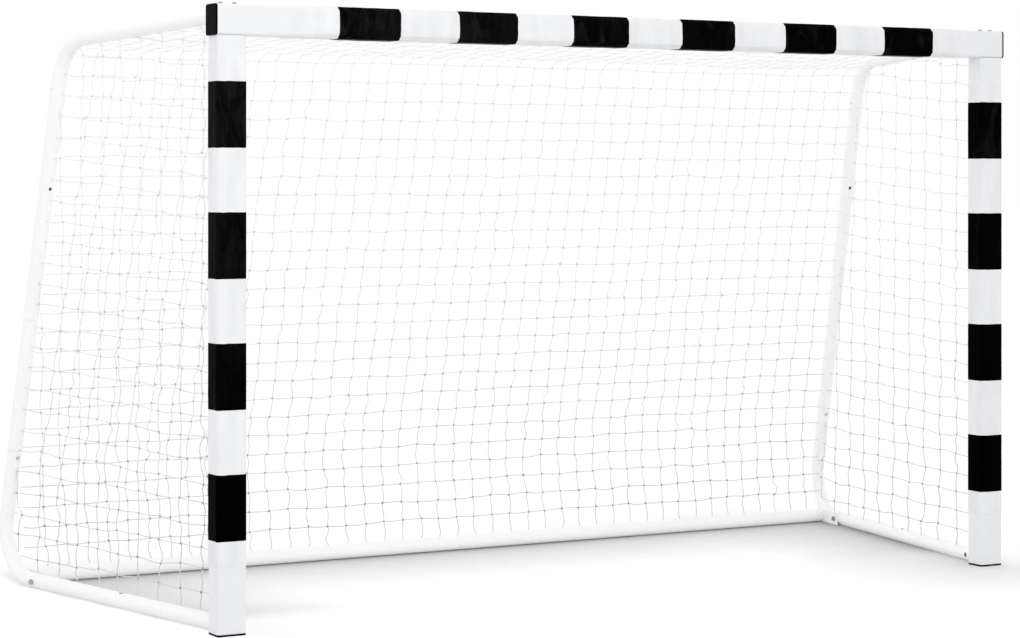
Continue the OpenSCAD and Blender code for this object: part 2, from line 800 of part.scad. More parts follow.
bar_joint() snap_button();  // snap_button_bar
snap_springs();
back_net();
back_net_hem();
roof_net();
side_net(-1);  // side_net_left
side_net(1);  // side_net_right
net_hooks();
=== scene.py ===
import json
import math

import bpy
import numpy as np
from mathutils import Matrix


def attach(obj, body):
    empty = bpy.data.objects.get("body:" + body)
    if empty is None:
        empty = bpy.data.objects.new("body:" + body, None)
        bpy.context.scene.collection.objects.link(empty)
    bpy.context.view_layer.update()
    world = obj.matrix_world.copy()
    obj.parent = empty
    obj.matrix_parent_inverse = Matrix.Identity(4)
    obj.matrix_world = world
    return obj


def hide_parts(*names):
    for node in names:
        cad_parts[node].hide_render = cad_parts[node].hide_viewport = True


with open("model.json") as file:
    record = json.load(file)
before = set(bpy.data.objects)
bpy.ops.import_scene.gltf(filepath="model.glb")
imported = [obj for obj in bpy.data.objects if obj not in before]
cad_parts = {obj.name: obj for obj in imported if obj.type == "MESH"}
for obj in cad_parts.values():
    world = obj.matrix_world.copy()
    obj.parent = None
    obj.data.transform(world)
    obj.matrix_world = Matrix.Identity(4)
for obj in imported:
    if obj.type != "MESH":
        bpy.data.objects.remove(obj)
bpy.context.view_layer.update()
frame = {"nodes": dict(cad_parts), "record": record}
NODES = frame["nodes"]
BODY = "goal_frame"

# ---- Sizes of the object, in metres, as in the CAD source ----

GOAL_W, GOAL_H = 2.4, 1.5
FACE_W, SECTION_D, SECTION_R = 0.075, 0.06, 0.008
FRONT_Y = -0.538114
BACK_Y = FRONT_Y + SECTION_D
POST_X = GOAL_W / 2 - FACE_W / 2
BEAM_Z = GOAL_H - FACE_W / 2
TUBE_R, BEND_R = 0.02, 0.13
SPLAY = math.radians(11)
DEPTH_LOW, DEPTH_TOP = 1.05, 0.72
RAIL_Z, RAIL_FALL, GROUND_Z = 1.478, 0.035, 0.02
CORNER_Z = RAIL_Z - RAIL_FALL
SLOPE = math.atan2(RAIL_FALL, DEPTH_TOP)
LEAN = math.atan2(DEPTH_LOW - DEPTH_TOP, CORNER_Z - GROUND_Z)
LOW_TANGENT = BEND_R * math.tan((math.pi / 2 + LEAN) / 2)
TOP_TANGENT = BEND_R * math.tan((math.pi / 2 - SLOPE - LEAN) / 2)
LOW_CENTRE = np.array([DEPTH_LOW - LOW_TANGENT, GROUND_Z + BEND_R])
TOP_CENTRE = np.array([
    DEPTH_TOP - TOP_TANGENT * math.cos(SLOPE) - BEND_R * math.sin(SLOPE),
    CORNER_Z + TOP_TANGENT * math.sin(SLOPE) - BEND_R * math.cos(SLOPE)])
RIDGE_ANGLE = (LEAN + math.pi / 2 - SLOPE) / 2
RIDGE = TOP_CENTRE + BEND_R * np.array([math.cos(RIDGE_ANGLE), math.sin(RIDGE_ANGLE)])
# the ground bar's distance behind the front frame, and the height of the net's edge on it
BAR_S, BAR_EDGE_Z = 0.95, 0.0425
# how far the net's panels stay off the tubes, and half the thickness of the CAD's own cords
NET_GAP, CAD_CORD_HALF = 0.0005, 0.002


def upright_s(z):
    """The upright's axis: its distance from the front frame at height z."""
    return DEPTH_LOW - (z - GROUND_Z) * math.tan(LEAN)


def rail_at(s):
    """The top rail's axis: its height at distance s."""
    return RAIL_Z - s * math.tan(SLOPE)


def half_width(s):
    """Half the main net's width at distance s."""
    return POST_X + s * math.sin(SPLAY) - (TUBE_R + NET_GAP) / math.cos(SPLAY)


# ---- Mesh helpers ----

# the noise has this many values each way before it repeats
LATTICE = 64


def make_mesh(name, co, quads, tris=()):
    """Smooth object from arrays of points, quads and triangles."""
    me = bpy.data.meshes.new(name)
    co = np.asarray(co, np.float32)
    quads = np.asarray(quads, np.int32).reshape(-1, 4)
    tris = np.asarray(tris, np.int32).reshape(-1, 3)
    faces = len(quads) + len(tris)
    me.vertices.add(len(co))
    me.vertices.foreach_set("co", co.ravel())
    me.loops.add(quads.size + tris.size)
    me.loops.foreach_set("vertex_index", np.concatenate([quads.ravel(), tris.ravel()]))
    me.polygons.add(faces)
    start = np.concatenate([np.arange(len(quads)) * 4, quads.size + np.arange(len(tris)) * 3])
    me.polygons.foreach_set("loop_start", start.astype(np.int32))
    me.polygons.foreach_set("use_smooth", np.full(faces, True))
    me.update(calc_edges=True)
    me.validate()
    obj = bpy.data.objects.new(name, me)
    bpy.context.scene.collection.objects.link(obj)
    return obj


def soft_step(v, lo, hi):
    """0 below lo, 1 above hi, smooth between them."""
    t = np.clip((v - lo) / (hi - lo), 0, 1)
    return t * t * (3 - 2 * t)


def lattice(u, v, seed):
    """Smooth value noise in -1..1 at points u, v, one value a unit."""
    grid = np.random.default_rng(seed).uniform(-1, 1, (LATTICE, LATTICE))
    iu, iv = np.floor(u).astype(int), np.floor(v).astype(int)
    fu, fv = soft_step(u - iu, 0, 1), soft_step(v - iv, 0, 1)

    def at(i, j):
        return grid[(iu + i) % LATTICE, (iv + j) % LATTICE]
    return (at(0, 0) * (1 - fu) * (1 - fv) + at(1, 0) * fu * (1 - fv)
            + at(0, 1) * (1 - fu) * fv + at(1, 1) * fu * fv)


def ball():
    """Points and triangles of an octahedron split once: the form of a knot."""
    v = [np.array(p, float) for p in
         [(1, 0, 0), (-1, 0, 0), (0, 1, 0), (0, -1, 0), (0, 0, 1), (0, 0, -1)]]
    faces = [(0, 2, 4), (2, 1, 4), (1, 3, 4), (3, 0, 4), (2, 0, 5), (1, 2, 5), (3, 1, 5), (0, 3, 5)]
    mid, out = {}, []

    def half(a, b):
        key = (min(a, b), max(a, b))
        if key not in mid:
            p = v[a] + v[b]
            v.append(p / np.linalg.norm(p))
            mid[key] = len(v) - 1
        return mid[key]
    for a, b, c in faces:
        ab, bc, ca = half(a, b), half(b, c), half(c, a)
        out += [(a, ab, ca), (b, bc, ab), (c, ca, bc), (ab, bc, ca)]
    return np.array(v), np.array(out)


KNOT_CO, KNOT_TRIS = ball()
CORD_SIDES = 6


class Cords:
    """Gathers cords and knots into one mesh; its point attribute "lump" is 1 on knots."""

    def __init__(self):
        self.co, self.quads, self.tris, self.lump, self.n = [], [], [], [], 0

    def take(self, co, quads, tris, lump):
        self.co.append(co)
        self.quads.append(quads + self.n)
        self.tris.append(tris + self.n)
        self.lump.append(np.full(len(co), lump, np.float32))
        self.n += len(co)

    def tube(self, path, ref, r):
        """Cord of radius r along path, closed at both ends; ref is a direction across it."""
        m, n = len(path), CORD_SIDES
        t = np.gradient(path, axis=0)
        t /= np.linalg.norm(t, axis=1)[:, None]
        a = np.cross(t, np.asarray(ref, float))
        a /= np.linalg.norm(a, axis=1)[:, None]
        b = np.cross(t, a)
        angle = (np.arange(n) * 2 * math.pi / n)[None, :, None]
        ring = a[:, None, :] * np.cos(angle) + b[:, None, :] * np.sin(angle)
        r = np.broadcast_to(np.asarray(r, float), (m,))
        tips = [path[0] - t[0] * r[0] * 0.5, path[-1] + t[-1] * r[-1] * 0.5]
        co = np.concatenate([(path[:, None, :] + ring * r[:, None, None]).reshape(-1, 3), tips])
        i = np.arange(m - 1)[:, None] * n
        k = np.arange(n)
        k2 = (k + 1) % n
        quads = np.stack([i + k, i + k2, i + n + k2, i + n + k], axis=-1).reshape(-1, 4)
        last = (m - 1) * n
        tris = np.concatenate([np.stack([np.full(n, m * n), k2, k], 1),
                               np.stack([np.full(n, m * n + 1), last + k, last + k2], 1)])
        self.take(co, quads, tris, 0.0)

    def knot(self, at, size, turn):
        """Lump at a crossing, of a size along x, y and z, turned about z and then about x."""
        c, s = math.cos(turn[0]), math.sin(turn[0])
        co = KNOT_CO * size @ np.array([[c, s, 0], [-s, c, 0], [0, 0, 1]])
        c, s = math.cos(turn[1]), math.sin(turn[1])
        co = co @ np.array([[1, 0, 0], [0, c, s], [0, -s, c]])
        self.take(co + at, np.zeros((0, 4), int), KNOT_TRIS, 1.0)

    def build(self, name):
        obj = make_mesh(name, *(np.concatenate(p) for p in (self.co, self.quads, self.tris)))
        lump = obj.data.attributes.new("lump", "FLOAT", "POINT")
        lump.data.foreach_set("value", np.concatenate(self.lump))
        return obj


# ---- Material helpers ----

def link(tree, value, socket):
    tree.links.new(value, socket)


def material(name, colour, rough, build):
    m = bpy.data.materials.new(name)
    m.use_nodes = True
    tree = m.node_tree
    shader = tree.nodes["Principled BSDF"]
    shader.inputs["Base Color"].default_value = (*colour, 1)
    shader.inputs["Roughness"].default_value = rough
    build(tree, shader, tree.nodes.new("ShaderNodeTexCoord").outputs["Object"])
    return m


def mapping(tree, coords, scale, turn=(0, 0, 0)):
    n = tree.nodes.new("ShaderNodeMapping")
    n.inputs["Scale"].default_value = scale
    n.inputs["Rotation"].default_value = turn
    link(tree, coords, n.inputs["Vector"])
    return n.outputs["Vector"]


def axes(tree, vector):
    n = tree.nodes.new("ShaderNodeSeparateXYZ")
    link(tree, vector, n.inputs[0])
    return n.outputs


def attribute(tree, name):
    n = tree.nodes.new("ShaderNodeAttribute")
    n.attribute_name = name
    return n.outputs


def noise(tree, coords, scale, detail, rough, distortion=0.0):
    n = tree.nodes.new("ShaderNodeTexNoise")
    for key, v in (("Scale", scale), ("Detail", detail), ("Roughness", rough),
                   ("Distortion", distortion)):
        n.inputs[key].default_value = v
    link(tree, coords, n.inputs["Vector"])
    return n.outputs["Fac"]


def remap(tree, value, a, b, lo, hi):
    """lo where value is a or less, hi where it is b or more, linear between."""
    n = tree.nodes.new("ShaderNodeMapRange")
    n.clamp = True
    for key, v in zip(("From Min", "From Max", "To Min", "To Max"), (a, b, lo, hi)):
        n.inputs[key].default_value = v
    link(tree, value, n.inputs["Value"])
    return n.outputs["Result"]


def mix_colour(tree, fac, a, b):
    n = tree.nodes.new("ShaderNodeMix")
    n.data_type = "RGBA"
    for sock, v in ((n.inputs[6], a), (n.inputs[7], b)):
        if isinstance(v, tuple):
            sock.default_value = (*v, 1)
        else:
            link(tree, v, sock)
    link(tree, fac, n.inputs[0])
    return n.outputs[2]


def math_node(tree, operation, *values):
    n = tree.nodes.new("ShaderNodeMath")
    n.operation = operation
    for sock, v in zip(n.inputs, values):
        if isinstance(v, float):
            sock.default_value = v
        else:
            link(tree, v, sock)
    return n.outputs[0]


def times(tree, a, b):
    return math_node(tree, "MULTIPLY", a, b)


def add(tree, a, b, k=1.0):
    """a plus k times b."""
    return math_node(tree, "MULTIPLY_ADD", b, k, a)


def bump(tree, shader, height, distance, strength):
    n = tree.nodes.new("ShaderNodeBump")
    n.inputs["Distance"].default_value = distance
    n.inputs["Strength"].default_value = strength
    link(tree, height, n.inputs["Height"])
    link(tree, n.outputs["Normal"], shader.inputs["Normal"])


# ---- Materials ----

SCUFF = (0.62, 0.62, 0.63)
BLACK_DEEP, BLACK_LIT = (0.0006, 0.0006, 0.0007), (0.0095, 0.0095, 0.0102)
FILM_FOLD_SHADED, FILM_FOLD_LIT = (0.792, 0.798, 0.816), (0.855, 0.861, 0.877)
CORD_CLEAN_LIT, CORD_DIRT_AND_SHADE = (0.975, 0.972, 0.967), (0.60, 0.595, 0.59)
KNOT_CLEAN_LIT, KNOT_DIRT_AND_SHADE = (0.93, 0.925, 0.92), (0.28, 0.278, 0.274)
STRAND = (0.5, 0.495, 0.49)
BLACK_FILM_IOR, CAP_IOR, HOOK_IOR = 1.035, 1.06, 1.45


def paint(dull, clean):
    def build(tree, shader, co):
        """Powder coat: orange peel, clouds between a dull and a clean white, handling scuffs that
        are more frequent close to the ground."""
        cloud = noise(tree, co, 9.0, 4.0, 0.6)
        peel = noise(tree, co, 420.0, 2.0, 0.5)
        scuff = noise(tree, mapping(tree, co, (1, 1, 1), (0.3, 0.5, 0.2)), 60.0, 6.0, 0.75, 0.6)
        base = mix_colour(tree, remap(tree, cloud, 0.3, 0.7, 0, 1), dull, clean)
        ground = remap(tree, axes(tree, co)["Z"], 0.03, 0.15, 0.06, 0.0)
        marks = remap(tree, add(tree, scuff, ground), 0.70, 0.80, 0, 0.5)
        link(tree, mix_colour(tree, marks, base, SCUFF), shader.inputs["Base Color"])
        rough = remap(tree, add(tree, scuff, cloud, 0.5), 0.4, 1.1, 0.24, 0.46)
        link(tree, rough, shader.inputs["Roughness"])
        bump(tree, shader, peel, 0.00012, 0.35)
        shader.inputs["Coat Weight"].default_value = 0.15
        shader.inputs["Coat Roughness"].default_value = 0.12
    return build


def painted_film_light(tree, co, crease, streak):
    """Painted light on the black film: greyer high up and on the left, where the light falls, with
    painted shade in its creases and painted highlights in a few patches near the top."""
    at = axes(tree, co)
    lit = times(tree, remap(tree, at["Z"], 0.45, 1.35, 0.0, 1.0),
                remap(tree, at["X"], 0.3, -1.1, 0.1, 1.0))
    lit = times(tree, lit, remap(tree, streak, 0.4, 0.7, 0.6, 1.0))
    lit = times(tree, lit, remap(tree, crease, 0.40, 0.56, 0.35, 1.1))
    shine = noise(tree, mapping(tree, co, (1, 1, 0.5), (0.2, 0.5, 0.1)), 24.0, 2.0, 0.5, 0.8)
    painted_glints = times(tree, remap(tree, shine, 0.56, 0.72, 0.0, 1.0),
                    remap(tree, at["Z"], 0.6, 1.4, 0.0, 0.8))
    return add(tree, lit, painted_glints, 0.9)


def film(dark):
    def build(tree, shader, co):
        """Welded plastic film: fine leather-like grain, soft creases and faint streaks."""
        grain = noise(tree, co, 1400.0, 2.0, 0.5)
        crease = noise(tree, mapping(tree, co, (1, 1, 0.35)), 26.0, 3.0, 0.55, 1.4)
        streak = noise(tree, mapping(tree, co, (1, 1, 0.12), (0.05, 0.1, 0.0)),
                       120.0, 2.0, 0.5, 0.3)
        gloss = add(tree, noise(tree, co, 6.0, 3.0, 0.5), streak, 0.4)
        if dark:
            shader.inputs["IOR"].default_value = BLACK_FILM_IOR
            # the black film's tone is painted light and shade: greyer where light falls, darker in
            # creases, with painted highlights
            tint = mix_colour(tree, painted_film_light(tree, co, crease, streak), BLACK_DEEP, BLACK_LIT)
            rough = remap(tree, gloss, 0.4, 1.0, 0.24, 0.42)
        else:
            # painted shade of the folds: soft vertical bands of darker and lighter white
            folds = noise(tree, mapping(tree, co, (1, 1, 0.22), (0.0, 0.15, 0.0)),
                          24.0, 3.0, 0.55, 0.4)
            tint = mix_colour(tree, remap(tree, folds, 0.36, 0.66, 0, 1), FILM_FOLD_SHADED, FILM_FOLD_LIT)
            rough = remap(tree, gloss, 0.4, 1.0, 0.26, 0.45)
        link(tree, tint, shader.inputs["Base Color"])
        link(tree, rough, shader.inputs["Roughness"])
        relief = add(tree, add(tree, crease, streak, 0.12), grain, 0.03)
        bump(tree, shader, relief, 0.0016 if dark else 0.0012, 0.5)
    return build


def plastic(ior):
    def build(tree, shader, co):
        """Moulded plastic with a fine spark-eroded grain."""
        shader.inputs["IOR"].default_value = ior
        grain = noise(tree, co, 900.0, 3.0, 0.6)
        cloud = noise(tree, co, 30.0, 3.0, 0.5)
        base = shader.inputs["Base Color"].default_value[:3]
        tint = mix_colour(tree, remap(tree, cloud, 0.3, 0.7, 0, 1), tuple(c * 0.8 for c in base),
                          tuple(min(1, c * 1.15 + 0.001) for c in base))
        link(tree, tint, shader.inputs["Base Color"])
        r = shader.inputs["Roughness"].default_value
        link(tree, remap(tree, grain, 0.3, 0.7, r - 0.06, r + 0.08), shader.inputs["Roughness"])
        bump(tree, shader, grain, 0.0001, 0.5)
    return build


def plated(tree, shader, co):
    """Plated or bare steel: faint clouds of oxide and turned scratches."""
    shader.inputs["Metallic"].default_value = 1.0
    cloud = noise(tree, co, 160.0, 4.0, 0.6)
    scratch = noise(tree, mapping(tree, co, (1, 1, 12)), 500.0, 2.0, 0.5)
    base = shader.inputs["Base Color"].default_value[:3]
    tint = mix_colour(tree, remap(tree, cloud, 0.35, 0.7, 0, 1), base,
                      tuple(c * 0.72 for c in base))
    link(tree, tint, shader.inputs["Base Color"])
    r = shader.inputs["Roughness"].default_value
    rough = remap(tree, add(tree, cloud, scratch, 0.5), 0.4, 1.1, r - 0.08, r + 0.14)
    link(tree, rough, shader.inputs["Roughness"])
    bump(tree, shader, scratch, 0.00005, 0.5)


def cord_finish(tree, shader, co):
    """White cord of fine strands: painted shade makes it greyer low down and painted light lighter
    high up, with random clouds of grey dirt; the knots are painted darker, a painted shade in their
    folds.
    """
    low = remap(tree, axes(tree, co)["Z"], 0.0, 1.45, 1.0, 0.0)
    cloud = noise(tree, co, 14.0, 3.0, 0.6)
    strand = noise(tree, mapping(tree, co, (1, 1, 1), (0.6, 0.4, 0.3)), 1500.0, 2.0, 0.5)
    # greyer low down and lighter high up is painted shade and light; the cloud adds random grey
    # dirt
    dirt_and_shade = remap(tree, add(tree, low, cloud, 0.5), 0.1, 1.3, 0.0, 1.0)
    dirt_and_shade = math_node(tree, "POWER", dirt_and_shade, 1.6)
    # the knots are painted darker: a painted shade in their folds
    base = mix_colour(tree, attribute(tree, "lump")["Fac"],
                      mix_colour(tree, dirt_and_shade, CORD_CLEAN_LIT, CORD_DIRT_AND_SHADE),
                      mix_colour(tree, dirt_and_shade, KNOT_CLEAN_LIT, KNOT_DIRT_AND_SHADE))
    tint = mix_colour(tree, remap(tree, strand, 0.4, 0.7, 0, 0.1), base, STRAND)
    link(tree, tint, shader.inputs["Base Color"])
    bump(tree, shader, strand, 0.0004, 0.8)
    shader.inputs["Sheen Weight"].default_value = 0.3
    # light passes through thin nylon
    shader.inputs["Subsurface Weight"].default_value = 0.7
    shader.inputs["Subsurface Radius"].default_value = (1.0, 1.0, 1.0)
    shader.inputs["Subsurface Scale"].default_value = 0.002


# each finish: its slot, colour, roughness and what builds the rest of it
FINISHES = [
    ("frame_paint", (0.82, 0.825, 0.84), 0.32, paint((0.805, 0.812, 0.83), (0.835, 0.842, 0.86))),
    ("sleeve_white", (0.85, 0.855, 0.87), 0.34, film(False)),
    ("sleeve_black", (0.009, 0.009, 0.01), 0.32, film(True)),
    ("cap_black", (0.003, 0.003, 0.0035), 0.42, plastic(CAP_IOR)),
    ("zinc", (0.46, 0.46, 0.47), 0.34, plated),
    ("dark_screw", (0.16, 0.155, 0.15), 0.38, plated),
    ("spring_steel", (0.66, 0.665, 0.67), 0.26, plated),
    ("hook_white", (0.82, 0.82, 0.81), 0.4, plastic(HOOK_IOR)),
    ("net_cord", (0.4, 0.395, 0.385), 0.85, cord_finish),
]
MATS = {name: material(name, *rest) for name, *rest in FINISHES}
# the round tubes of the side frames get a lighter copy of the paint: painted light for the strong
# light from above on them
LIT_TUBE_PAINT = material("lit_tube_paint", (0.92, 0.925, 0.94), 0.3,
                      paint((0.955, 0.96, 0.97), (0.97, 0.974, 0.982)))
TUBE_WORDS = ("tube", "rear_bar", "socket")
for part in frame["record"]["subparts"]:
    mesh = NODES[part["node"]].data
    mesh.materials.clear()
    slot = part["material_slot"]
    of_tube = slot == "frame_paint" and any(w in part["node"] for w in TUBE_WORDS)
    mesh.materials.append(LIT_TUBE_PAINT if of_tube else MATS[slot])


def place(obj, slot, *nodes):
    """Finish obj, tie it to the goal's body and let it stand for CAD nodes."""
    obj.data.materials.append(MATS[slot])
    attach(obj, BODY)
    if nodes:
        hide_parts(*nodes)


# ---- Sleeves ----

# the white film's gap to the tube and its thickness; the black bands' gap to it and thickness
SKIN_GAP, SKIN_T = 0.0003, 0.0008
BAND_GAP, BAND_T = 0.0001, 0.0004
# points along a wide side, a narrow side and a corner of the section; spacing of the stations
N_WIDE, N_NARROW, N_CORNER, STATION = 26, 16, 5, 0.005
# the last ring of a sleeve; how far its lips thin out; how much of the gap they close
LAST_RING, LIP_L, LIP_HUG = 0.0004, 0.012, 0.8
# share of the thickness that a lip loses: on a sleeve, and on a band over BAND_LIP_L
LIP_THIN, BAND_LIP_THIN, BAND_LIP_L = 0.9, 0.5, 0.001
# how far a band's printed edge wanders
EDGE_WANDER = 0.0006
# how far the film swells from the front face, and how deep its folds are across its length
BAR_SWELL, POST_SWELL, BAR_FOLDS, POST_FOLDS = 0.0068, 0.002, 0.0011, 0.0005
# the distances from a sleeve's end over which the film swells and comes away from the tube, and
# how far it stands off between creases
SWELL_L, HUG_L, CREASE_LIFT = 0.12, 0.02, 0.0005
# coarse and fine creases, each with its depth and its length along the sleeve and round it; the
# folds' lengths, and how far they slant
CREASES = ((0.00045, 0.045, 0.02), (0.00025, 0.016, 0.03))
FOLD_L, FOLD_ROUND, FOLD_SLANT = 0.028, 0.09, 0.25
# number, pitch and width of the bands, and how far the film runs on past the outer ones
BAR_BANDS, BAR_PITCH, BAR_BAND, BAR_MARGIN = 6, 0.332, 0.168, 0.131
POST_BANDS, POST_PITCH, POST_BAND, POST_MARGIN = 4, 0.311, 0.158, 0.063
# the crossbar's bands off the middle, the posts' top bands below the crossbar, and how much
# lower the right post's sleeve sits
BAR_SHIFT, POST_TOP, RIGHT_DROP = 0.032, 0.109, 0.016
BAR_SEED, POST_SEED = 11, 31


def section():
    """Points round the box section as rows (a, b, na, nb, side, t): a runs across the face, b to
    the back, (na, nb) points outward, side is 0 front, 1 plus a, 2 back or 3 minus a, and t runs
    from -1 to 1 along that side."""
    pts = []
    for side in range(4):
        wide = side % 2 == 0
        n = N_WIDE if wide else N_NARROW
        reach, out = (FACE_W / 2, SECTION_D / 2) if wide else (SECTION_D / 2, FACE_W / 2)
        half = reach - SECTION_R
        ca, sa = math.cos(side * math.pi / 2), math.sin(side * math.pi / 2)
        for k in range(n + 1):
            x, y = (-1 + 2 * k / n) * half, -out
            pts.append((x * ca - y * sa, x * sa + y * ca, sa, -ca, side, x / reach))
        for k in range(1, N_CORNER):
            g = (k / N_CORNER - 1) * math.pi / 2
            nx, ny = math.cos(g), math.sin(g)
            x, y = half + SECTION_R * nx, -(out - SECTION_R) + SECTION_R * ny
            near = k <= N_CORNER / 2
            pts.append((x * ca - y * sa, x * sa + y * ca, nx * ca - ny * sa, nx * sa + ny * ca,
                        side if near else (side + 1) % 4, 1.0 if near else -1.0))
    return np.array(pts)


SECTION = section()


def swell(along, ends, bulge, folds, seed):
    """How far the film stands off the tube at each station (rows) and section point (columns)."""
    side, t = SECTION[:, 4], SECTION[:, 5]
    steps = np.hypot(np.diff(SECTION[:, 0]), np.diff(SECTION[:, 1]))
    u, v = np.meshgrid(along, np.concatenate([[0], np.cumsum(steps)]), indexing="ij")
    front = (side == 0)[None, :]
    plump = np.where(front, 1 - np.abs(t)[None, :] ** 5, 0.0)
    level = bulge * plump * (0.86 + 0.14 * lattice(u / 0.11, v / 0.5, seed))
    creases = sum(depth * lattice(u / length, v / width, seed + k)
                  for k, (depth, length, width) in enumerate(CREASES, 1))
    creases += folds * lattice((u + FOLD_SLANT * v) / FOLD_L, v / FOLD_ROUND, seed + 3)
    calm = np.where(side == 2, 0.1, 1.0)[None, :]
    loose = np.where(front, 0.35 + 0.65 * plump, 0.3)
    to_end = np.minimum(u - ends[0], ends[1] - u)
    level = level * (0.06 + 0.94 * soft_step(to_end, 0.0, SWELL_L))
    return (level + (creases + CREASE_LIFT) * loose * calm) * soft_step(to_end, 0.0, HUG_L)


def skin(name, axis, centre, ends, span, bulge, seed, slot, node):
    """Closed film tube round the box section, over span of its whole sleeve's ends: the white
    sleeve itself, or a black band on it. axis x: along the crossbar; axis z: along a post."""
    band = slot == "sleeve_black"
    offset, thick = (SKIN_GAP + SKIN_T + BAND_GAP, BAND_T) if band else (SKIN_GAP, SKIN_T)
    along = np.linspace(*span, round((span[1] - span[0]) / STATION) + 1)
    if not band:
        # a narrow last ring, so that the lip's shading stays at the very end
        along = np.concatenate([[along[0], along[0] + LAST_RING], along[1:-1],
                                [along[-1] - LAST_RING, along[-1]]])
    n, m = len(along) - 1, len(SECTION)
    stations = np.repeat(along[:, None], m, axis=1)
    if band:
        waves = EDGE_WANDER * lattice(np.arange(m) / 5.0, np.full(m, 0.5), seed + 9)
        for row, share in ((0, 1.0), (1, 0.4)):
            stations[row] += waves * share
            stations[-1 - row] += waves[::-1] * share
    # the loose crossbar sleeve falls into more folds across its length than the tight post sleeves
    stand = swell(along, ends, bulge, BAR_FOLDS if axis == "x" else POST_FOLDS, seed)
    # the film thins to a lip at its ends; a sleeve's lips also lie close on the tube
    to_end = np.minimum(along - span[0], span[1] - along)
    thin = 1 - soft_step(to_end, 0.0, BAND_LIP_L if band else LIP_L)[:, None]
    inner = stand + offset - (0 if band else LIP_HUG * SKIN_GAP) * thin
    outer = inner + thick * (1 - (BAND_LIP_THIN if band else LIP_THIN) * thin)
    shells = []
    for d in (outer, inner):
        pa = SECTION[None, :, 0] + SECTION[None, :, 2] * d
        pb = SECTION[None, :, 1] + SECTION[None, :, 3] * d
        co = (stations, pb, pa) if axis == "x" else (pa, pb, stations)
        shells.append(np.stack([c + p for c, p in zip(centre, co)], axis=-1).reshape(-1, 3))
    i = np.arange(n)[:, None] * m
    k = np.arange(m)
    k2 = (k + 1) % m
    base, top = (n + 1) * m, n * m
    outside = np.stack([i + k, i + k2, i + m + k2, i + m + k], axis=-1).reshape(-1, 4)
    quads = np.concatenate([
        outside, outside[:, ::-1] + base,
        np.stack([k2, k, base + k, base + k2], axis=-1),
        np.stack([top + k, top + k2, base + top + k2, base + top + k], axis=-1)])
    if axis == "x":
        quads = quads[:, ::-1]
    place(make_mesh(name, np.concatenate(shells), quads), slot, node)


def sleeve_set(tag, axis, centre, starts, width, margin, bulge, seed, sleeve_node, band_node):
    """A white sleeve with black bands of a width that start at the given places."""
    ends = (min(starts) - margin, max(starts) + width + margin)
    skin("sleeve_" + tag, axis, centre, ends, ends, bulge, seed, "sleeve_white", sleeve_node)
    for i, lo in enumerate(starts):
        skin(f"band_{tag}_{i}", axis, centre, ends, (lo, lo + width), bulge, seed,
             "sleeve_black", band_node)


bar_start = BAR_SHIFT - ((BAR_BANDS - 1) * BAR_PITCH + BAR_BAND) / 2
sleeve_set("crossbar", "x", (0, FRONT_Y + SECTION_D / 2, BEAM_Z),
           [bar_start + i * BAR_PITCH for i in range(BAR_BANDS)], BAR_BAND, BAR_MARGIN,
           BAR_SWELL, BAR_SEED, "crossbar_sleeve", "crossbar_bands")
for sgn, side_name, drop in ((-1, "left", 0.0), (1, "right", RIGHT_DROP)):
    post_start = GOAL_H - FACE_W - POST_TOP - drop - POST_BAND
    sleeve_set("post_" + side_name, "z", (sgn * POST_X, FRONT_Y + SECTION_D / 2, 0),
               [post_start - i * POST_PITCH for i in range(POST_BANDS)], POST_BAND, POST_MARGIN,
               POST_SWELL, POST_SEED + sgn, "post_sleeve_" + side_name, "post_bands_" + side_name)

# ---- Net ----

# the cord's radius, the knots' size and how much they differ
CORD_R, KNOT, KNOT_GROW = 0.0014, np.array([0.0037, 0.0031, 0.0034]), (0.9, 1.15)
# the roof's cords are pulled tight and look thinner: their share of the full thickness, and where
# along the net's path that ends
ROOF_GAUGE, GAUGE_FROM, GAUGE_TO = 0.58, 0.62, 0.78
# columns and pitch of the rows of the main net, and points along a stretch between two knots
NET_COLS, NET_PITCH, COLUMN_POINTS, ROW_POINTS = 44, 0.054, 8, 6
# how far its knots stray across and up, and how far the cords between them bow
STRAY_X, STRAY_Z, COLUMN_BOW, ROW_BOW = 0.0022, 0.0016, 0.0030, 0.0012
# share of an S-bend in a bow, in columns and in the side nets' rows, and how much rows hang
COLUMN_WAVE, ROW_WAVE, ROW_HANG, SIDE_ROW_HANG = 0.6, 0.5, 0.5, 0.6
# distances along the net's path: where the roof ends, and how long the back bellies from there
ROOF_L, BACK_L = 0.70, 1.12
# how far the roof hangs, the back bellies and the net drifts from its path; none of it shows at
# the sides, where it starts over EDGE_CALM, and the drift starts over END_CALM at both ends
ROOF_SAG, BACK_BELLY, DRIFT, EDGE_CALM, END_CALM = 0.005, 0.006, 0.006, 0.12, 0.15
# the net is this much narrower on each side at the crossbar, up to a distance behind it
TUCK, TUCK_L = 0.006, 0.06
# seeds of the main net's knots, of its drift and of the side nets
NET_SEED, DRIFT_SEED, SIDE_SEED = 3, 5, 70
# the path's step, points on each rounded corner and the most of a side that a corner takes
PATH_STEP, CORNER_POINTS, CORNER_MOST = 0.002, 9, 0.45
# steps behind and ahead of a point that give the path's direction
BEHIND, AHEAD = 3, 4


